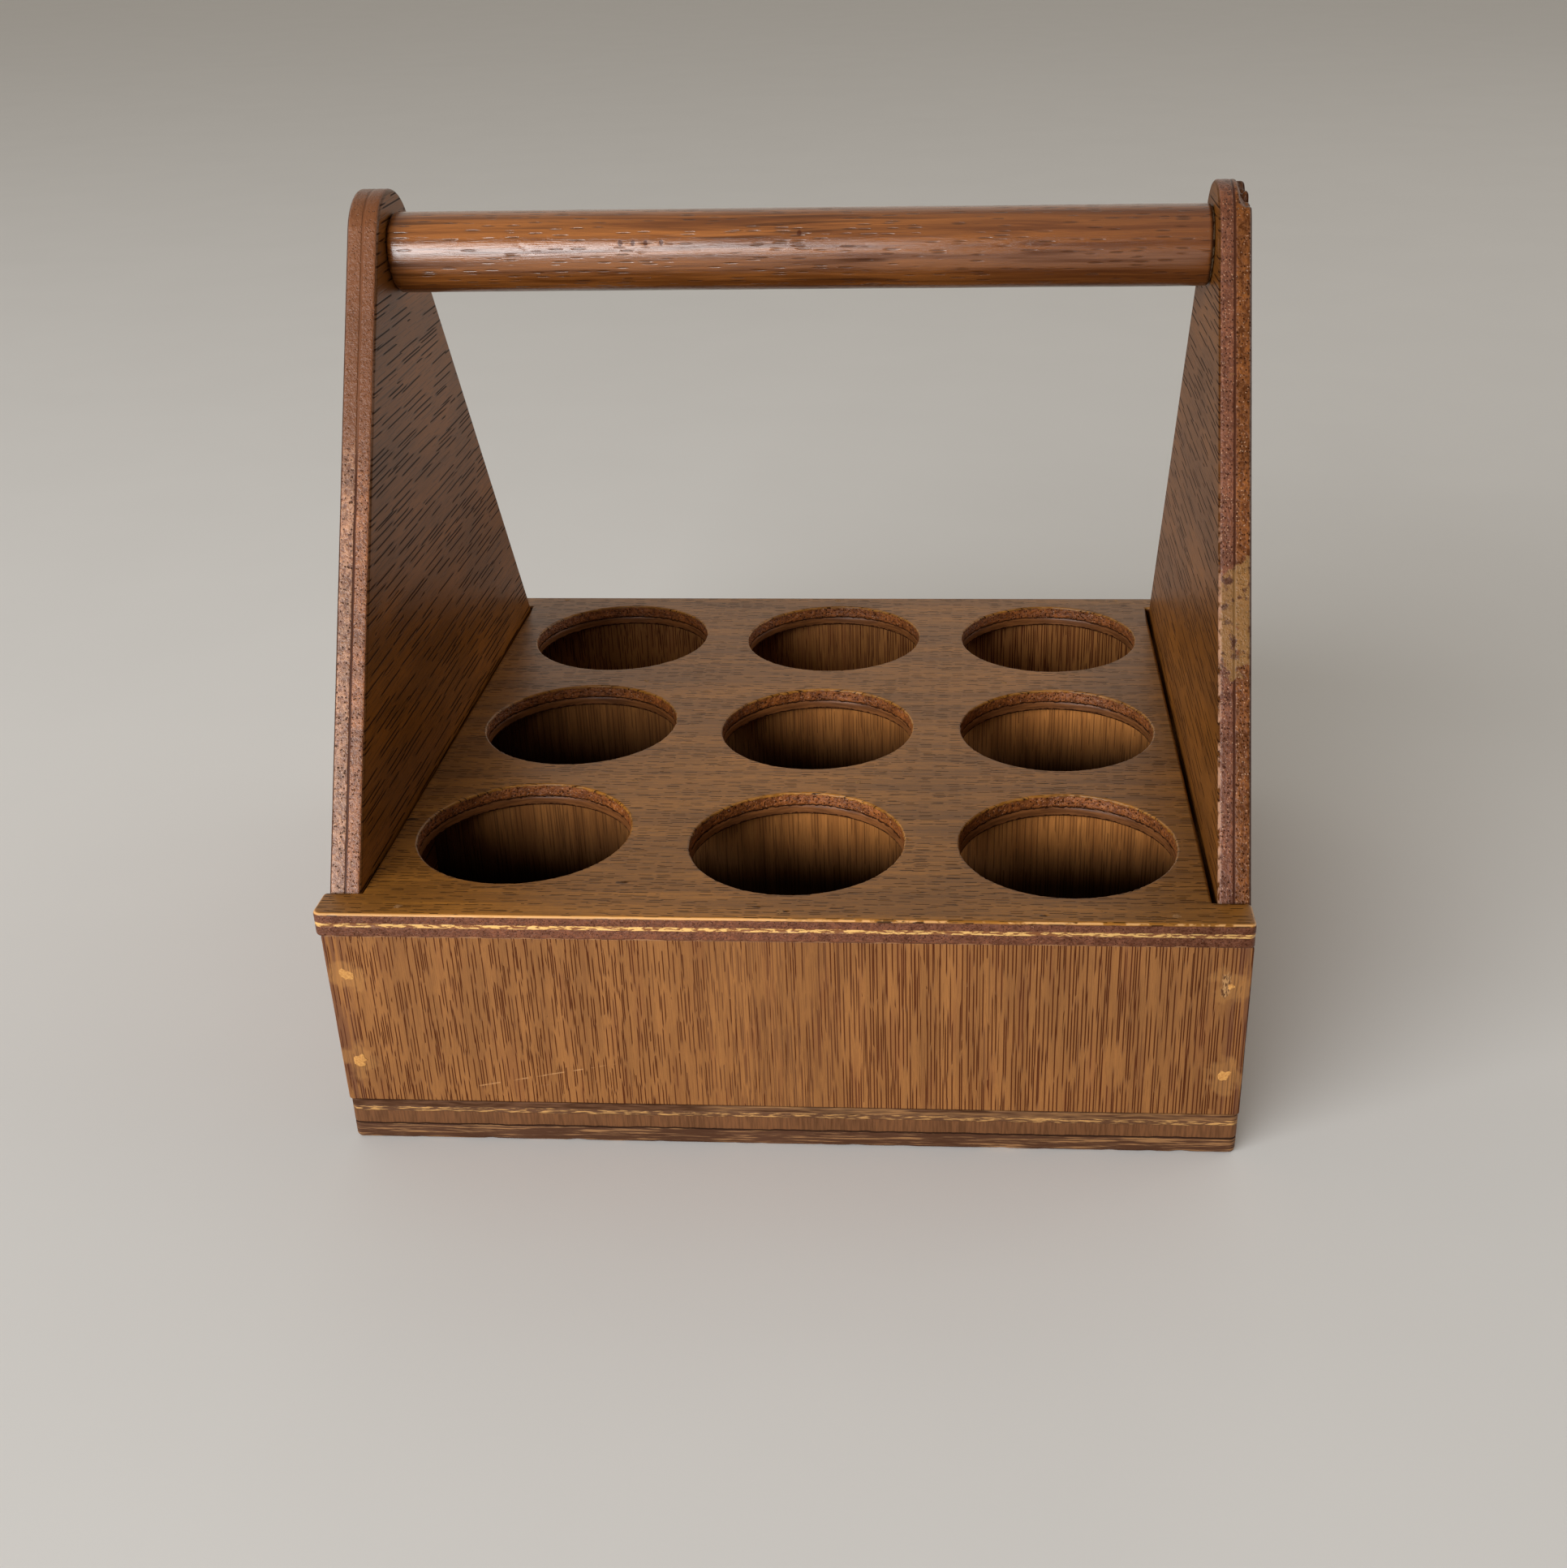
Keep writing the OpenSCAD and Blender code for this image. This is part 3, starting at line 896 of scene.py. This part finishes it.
def make_panels():
    front_marks = [Dent(-76, 22, 46, 0.5, 0.08, 13.6)]
    for box, node, out, marks, seed in (
        (front, "front_panel", -Y, front_marks, 2.0),
        (back, "back_panel", Y, (), 12.0),
    ):
        u_axis = X if out.y < 0 else -X
        inner_y = box.high.y if out.y < 0 else box.low.y
        place = placed(u_axis, Z, out, (0, inner_y, box.middle.z))
        loop = box_outline(box.size.x, box.size.z, 1.0, low_arris=0.3, high_arris=0.7)
        material = panel_material(node.replace("panel", "ply"), out, box, seed)
        moved = [Dent(m.centre.x, m.centre.y - box.middle.z, 2 * m.half[0], 2 * m.half[1],
                      m.depth, math.degrees(m.turn)) for m in marks]
        board(node, [loop], box.size.y, place, material, rows=12,
              relief=edge_wobble, dents=moved)


def make_dividers():
    material = divider_material()
    for box, node in ((front_divider, "front_divider"), (rear_divider, "rear_divider")):
        place = placed(X, Z, -Y, (0, box.high.y, box.middle.z))
        loop = box_outline(box.size.x, box.size.z, 0.6, low_arris=0.3, high_arris=0.3)
        board(node, [loop], box.size.y, place, material, rows=6, relief=edge_wobble)


def end_corners():
    """Corners of an end board: the top one is where the two tapered edges would meet."""
    rise = axis_z - deck.low.z
    reach = math.hypot(end_half_width, rise)
    lean = math.atan2(end_half_width, rise) - math.asin(top_radius / reach)
    meeting = deck.low.z + end_half_width / math.tan(lean)
    return [
        (-end_half_width, left_end.low.z), (end_half_width, left_end.low.z),
        (end_half_width, deck.low.z), (0, meeting), (-end_half_width, deck.low.z),
    ]


def make_ends():
    corners = end_corners()
    head = screws.size.y / 2
    left_colours = (
        (srgb(130, 79, 30), srgb(116, 70, 26)),
        (srgb(146, 92, 56), srgb(112, 66, 40), srgb(44, 22, 14)),
        (srgb(164, 118, 88), srgb(112, 70, 48), srgb(26, 14, 9)),
    )
    right_colours = (
        (srgb(117, 71, 27), srgb(105, 63, 24)),
        (srgb(122, 73, 48), srgb(94, 53, 35), srgb(46, 24, 16)),
        (srgb(122, 69, 25), srgb(86, 45, 16), srgb(44, 21, 9)),
    )
    for box, node, out, colours, seed in (
        (left_end, "left_end_board", -X, left_colours, 21.0),
        (right_end, "right_end_board", X, right_colours, 31.0),
    ):
        thickness = box.size.x
        inner_h = thickness if out.x < 0 else 0.0

        def lost(u, v, h, inner_h=inner_h, right=out.x > 0):
            depth = abs(h - inner_h)
            seam = 0.12 * math.exp(-((depth - 4.9) / 0.45) ** 2)
            rough = 0.05 * (0.5 + smooth_noise(u / 1.4, v / 1.4, h / 1.4, seed))
            chip = 0.0
            if right:
                turn = math.degrees(math.atan2(v - axis_z, -u))
                window = max(0.0, 1 - abs(turn - 78) / 34)
                ragged = 1 + 0.8 * smooth_noise(u / 3, v / 3, h / 3, 2.0)
                chip = 4.2 * ragged * min(1.0, 2.5 * window) * max(0.0, min(1.0, (depth - 6.2) / 2.0))
            return edge_wobble(u, v, h, 0.06, 11.0, seed) + seam + rough + chip

        outline = Outline(lambda height: corners, [1.8, 1.8, 4.0, top_radius, 4.0],
                          low_arris=1.2, high_arris=1.2)
        place = placed(Y, Z, X, (box.low.x, 0, 0))

        def countersink(h, outer_h=thickness - inner_h):
            slope = (head / 2) / (0.65 * head)
            return 0.1 + max(head / 2, head - slope * abs(h - outer_h))

        bore = Hole(0, axis_z, countersink, 0.1, 0.1, step=0.25, rough=False)
        board(node, [outline, bore], thickness, place, end_material(box, out, *colours, seed),
              rows=18, relief=lost)


def make_deck():
    left_wall, right_wall = notch_walls()
    notch = max(
        abs(v.co.y / MM)
        for v in frame["nodes"]["deck"].data.vertices
        if abs(v.co.x / MM - left_wall) < 0.01 and abs(v.co.z / MM - deck.low.z) < 0.01
    )
    notch_top = min(
        abs(v.co.y / MM)
        for v in frame["nodes"]["deck"].data.vertices
        if abs(v.co.x / MM - left_wall) < 0.01 and abs(v.co.z / MM - deck.high.z) < 0.01
    )

    def corners_at(height):
        end = notch + (notch_top - notch) * height / deck.size.z
        x0, x1, y0, y1 = deck.low.x, deck.high.x, deck.low.y, deck.high.y
        return [
            (x0, y0), (x1, y0), (x1, -end), (right_wall, -end), (right_wall, end), (x1, end),
            (x1, y1), (x0, y1), (x0, end), (left_wall, end), (left_wall, -end), (x0, -end),
        ]

    def lost(u, v, h):
        depth = deck.size.z - h
        core = math.exp(-((depth - 4.0) / 0.7) ** 2)
        chips = max(0.0, smooth_noise(u / 2.2, v / 2.2, h / 1.2, 6.0) - 0.05)
        in_hole = abs(u) < 0.9 * deck.high.x and abs(v) < 0.95 * deck.high.y
        if in_hole:
            sawn = math.exp(-((depth - 1.4) / 1.6) ** 2)
            step = 0.3 * math.exp(-((depth - 4.7) / 0.35) ** 2)
            return 0.04 + step + 0.9 * sawn * max(0.0, smooth_noise(u / 1.1, v / 1.1, h / 2, 3.0))
        return edge_wobble(u, v, h, 0.05, 12.0) + 0.7 * core * chips

    outer = Outline(corners_at, [3.0, 1.8, 1.6, 0, 0, 1.6, 1.8, 2.5, 1.6, 0, 0, 1.6],
                    low_arris=0.5, high_arris=1.1)
    holes = [
        Hole(x, y, lambda height, radius=radius: radius, 0.4, 0.7)
        for x, y, radius in hole_centres()
    ]
    dents = [
        Dent(-49.7, -113.9, 5, 1.6, 0.25, 4), Dent(-6.8, -127.7, 3, 1.2, 0.2),
        Dent(2.0, -130.4, 2.5, 1.0, 0.2), Dent(21, -132.3, 3, 0.7, 0.15, 20),
        Dent(78.9, -130.9, 3, 1.2, 0.2), Dent(36.8, -84.6, 3.5, 0.5, 0.12),
        Dent(-125, -70, 4.2, 0.5, 0.3, -7),
    ]
    place = placed(X, Y, Z, (0, 0, deck.low.z))
    board("deck", [outer] + holes, deck.size.z, place, deck_material(),
          rows=14, relief=lost, dents=dents)


def make_handle():
    """A turned rod with rounded rims, a little uneven, nicked and dented on its front."""
    radius, rim = handle.size.z / 2, 1.8
    length, around, step = handle.size.x, 144, 0.7
    profile = [(0.0, 0.0), (0.0, (radius - rim) / 2)]
    profile += [
        (rim * (1 - math.cos(a)), radius - rim + rim * math.sin(a))
        for a in (QUARTER * k / 6 for k in range(7))
    ]
    straight = round((length - 2 * rim) / step)
    profile += [(rim + (length - 2 * rim) * k / straight, radius) for k in range(1, straight)]
    profile += [(length - x, r) for x, r in reversed(profile[:9])]
    curl = [(-87 + 1.2 * k, 19 - 3.5 * k) for k in range(4)]
    dents = [Dent(x, math.radians(degrees) * radius, 2.2, 0.8, 0.25, -50 + 20 * k)
             for k, (x, degrees) in enumerate(curl)]
    dents += [Dent(x, math.radians(degrees) * radius, 1.4, 1.0, 0.18, 80) for x, degrees in NICKS]
    points, faces = [], []
    for x, r in profile:
        turns = around if r else 1
        for k in range(turns):
            turn = 2 * math.pi * k / around
            along = handle.low.x + x
            arc = (turn if turn < math.pi else turn - 2 * math.pi) * radius
            sink = 0.0
            if r > radius - rim:
                sink = 0.08 * (0.6 + smooth_noise(along / 30, math.cos(turn) * 0.8, math.sin(turn) * 0.8))
                sink += sum(d.depth_at((along, arc)) for d in dents)
            out = r - min(sink, r)
            points.append((along, -out * math.cos(turn), axis_z + out * math.sin(turn)))
    starts, first = [], 0
    for x, r in profile:
        starts.append(first)
        first += around if r else 1
    for i in range(len(profile) - 1):
        one, two = starts[i], starts[i + 1]
        for k in range(around):
            j = (k + 1) % around
            if profile[i][1] == 0:
                faces.append((one, two + j, two + k))
            elif profile[i + 1][1] == 0:
                faces.append((one + k, one + j, two))
            else:
                faces.append((one + k, one + j, two + j, two + k))
    new_piece("handle_dowel", points, faces, handle_material(), ["handle_dowel"])


def smear(points, faces, centre, outward, seed, radius=2.3, rings=5, around=20):
    """An irregular lens of filler let into a face."""
    side = outward.orthogonal().normalized()
    other = outward.cross(side)
    top = len(points)
    for face, deep in ((0, 0.06), (1, -0.5)):
        points.append(centre + outward * deep)
        for ring in range(1, rings + 1):
            share = ring / rings
            if face and ring == rings:
                continue
            for k in range(around):
                turn = 2 * math.pi * k / around
                ragged = 1 + 0.9 * smooth_noise(1.3 * math.cos(turn), 1.3 * math.sin(turn), 0, seed)
                level = (deep + 0.03) * (1 - share ** 2) - 0.03
                reach = radius * share * ragged
                points.append(centre + side * reach * math.cos(turn) + other * reach * math.sin(turn)
                              + outward * level)
    under = top + 1 + rings * around
    rim = top + 1 + (rings - 1) * around
    for k in range(around):
        j = (k + 1) % around
        faces.append((top, top + 1 + k, top + 1 + j))
        faces.append((under, under + 1 + j, under + 1 + k))
        for ring in range(rings - 1):
            a, b = top + 1 + ring * around, top + 1 + (ring + 1) * around
            faces.append((a + k, b + k, b + j, a + j))
            a = under + 1 + ring * around
            b = under + 1 + (ring + 1) * around if ring < rings - 2 else rim
            faces.append((a + k, a + j, b + j, b + k))


def make_fillers():
    ochre = filler_material("filler", srgb(196, 142, 74), srgb(166, 112, 52))
    aged = filler_material("old_filler", srgb(160, 116, 68), srgb(126, 86, 46))
    deck_top = deck.high.z
    faces_of = {
        "front_panel_filler": lambda p: (Vector((p.x, front.low.y, p.z)), -Y),
        "back_panel_filler": lambda p: (Vector((p.x, back.high.y, p.z)), Y),
        "deck_filler": lambda p: (Vector((p.x, p.y, deck_top)), Z),
        "end_board_filler": lambda p: (
            Vector((left_end.low.x if p.x < 0 else right_end.high.x, p.y, p.z)),
            -X if p.x < 0 else X,
        ),
    }
    for node, face_of in faces_of.items():
        points, faces = [], []
        for number, centre in enumerate(solid_centres(node)):
            place, outward = face_of(centre)
            radius = 1.2 if node == "deck_filler" else 2.15
            fallen_out = place.y == front.low.y and place.x > 0 and place.z > front.middle.z
            if fallen_out:
                radius = 0.9
            smear(points, faces, place, outward, 3.7 * number + len(node), radius)
        new_piece(node, points, faces, aged if node == "deck_filler" else ochre, [node])


def dress_metal():
    brass = metal_material("screw_metal", (0.55, 0.38, 0.16, 1), (0.16, 0.10, 0.05, 1), 0.4)
    steel = metal_material("pin_steel", (0.42, 0.41, 0.40, 1), (0.12, 0.09, 0.07, 1), 0.5)
    for node in ("handle_screws", "front_panel_pins", "back_panel_pins", "deck_pins",
                 "divider_pins", "base_nails"):
        piece = frame["nodes"][node]
        piece.data.materials.clear()
        piece.data.materials.append(brass if node == "handle_screws" else steel)


# Studio

def add_floor():
    g = Graph("floor_cloth", seed=40.0)
    weave = g.noise(g.grain(90, 90, 90), 3)
    colour = g.mix(weave, srgb(222, 220, 217), srgb(226, 224, 221))
    material = g.finish(colour, 0.9)
    half = 9000 * MM
    mesh = bpy.data.meshes.new("floor")
    corners = [(-half, -half, 0), (half, -half, 0), (half, half, 0), (-half, half, 0)]
    mesh.from_pydata(corners, [], [(0, 1, 2, 3)])
    mesh.materials.append(material)
    floor = bpy.data.objects.new("floor", mesh)
    bpy.context.scene.collection.objects.link(floor)


def add_light(name, azimuth, elevation, distance, width, height, power, colour):
    """A soft rectangular light that faces the rack. Azimuth 0 is in front, and 90 to the right."""
    turn, rise = math.radians(azimuth), math.radians(elevation)
    target = Vector((0, 0, 120 * MM))
    away = Vector((math.sin(turn) * math.cos(rise), -math.cos(turn) * math.cos(rise), math.sin(rise)))
    light = bpy.data.lights.new(name, "AREA")
    light.shape = "RECTANGLE"
    light.size, light.size_y = width * MM, height * MM
    light.energy = power
    light.color = colour
    lamp = bpy.data.objects.new(name, light)
    lamp.location = target + away * distance * MM
    lamp.rotation_mode = "QUATERNION"
    lamp.rotation_quaternion = away.to_track_quat("Z", "Y")
    bpy.context.scene.collection.objects.link(lamp)


def add_world():
    """A dim room with a paler ceiling and a slightly warm backdrop behind the rack."""
    world = bpy.data.worlds.new("room")
    world.use_nodes = True
    nodes, links = world.node_tree.nodes, world.node_tree.links

    def fade(value, low, high, to_low, to_high):
        made = nodes.new("ShaderNodeMapRange")
        made.interpolation_type = "SMOOTHSTEP"
        links.new(value, made.inputs[0])
        for socket, number in enumerate((low, high, to_low, to_high), start=1):
            made.inputs[socket].default_value = number
        return made.outputs[0]

    def combine(operation, a, b):
        made = nodes.new("ShaderNodeMath")
        made.operation = operation
        links.new(a, made.inputs[0])
        links.new(b, made.inputs[1])
        return made.outputs[0]

    toward = nodes.new("ShaderNodeSeparateXYZ")
    links.new(nodes.new("ShaderNodeTexCoord").outputs["Generated"], toward.inputs[0])
    _, behind, up = toward.outputs
    ceiling = fade(up, 0.3, 0.9, 0.1, 0.3)
    backdrop = combine("MULTIPLY", fade(behind, -0.1, 0.5, 0.0, 0.65), fade(up, 0.5, 0.9, 1.0, 0.0))
    background = nodes["Background"]
    background.inputs["Color"].default_value = (1.0, 0.93, 0.83, 1.0)
    links.new(combine("ADD", ceiling, backdrop), background.inputs["Strength"])
    bpy.context.scene.world = world
    bpy.context.scene.view_settings.view_transform = "Standard"


def add_camera():
    """The camera stands a little to the right of the rack, looking down on it."""
    yaw, pitch, roll = (math.radians(a) for a in (3.83, 27.55, -1.25))
    data = bpy.data.cameras.new("camera")
    data.sensor_width = 36
    data.lens = 41.93
    data.shift_x, data.shift_y = -0.0471, 0.0236
    data.clip_start, data.clip_end = 0.01, 60
    camera = bpy.data.objects.new("camera", data)
    turn = Matrix.Rotation(yaw, 4, "Z") @ Matrix.Rotation(QUARTER - pitch, 4, "X")
    turn = turn @ Matrix.Rotation(roll, 4, "Z")
    camera.matrix_world = Matrix.Translation(Vector((54.8, -597.7, 359.0)) * MM) @ turn
    bpy.context.scene.collection.objects.link(camera)
    bpy.context.scene.camera = camera


make_base()
make_panels()
make_dividers()
make_ends()
make_deck()
make_handle()
make_fillers()
dress_metal()
add_floor()
add_light("window", -34, 15, 3400, 3400, 1750, 175, (0.97, 0.985, 1.0))
add_light("far_wall", 105, 4, 3400, 2200, 1200, 30, (1.0, 0.95, 0.88))
add_world()
add_camera()
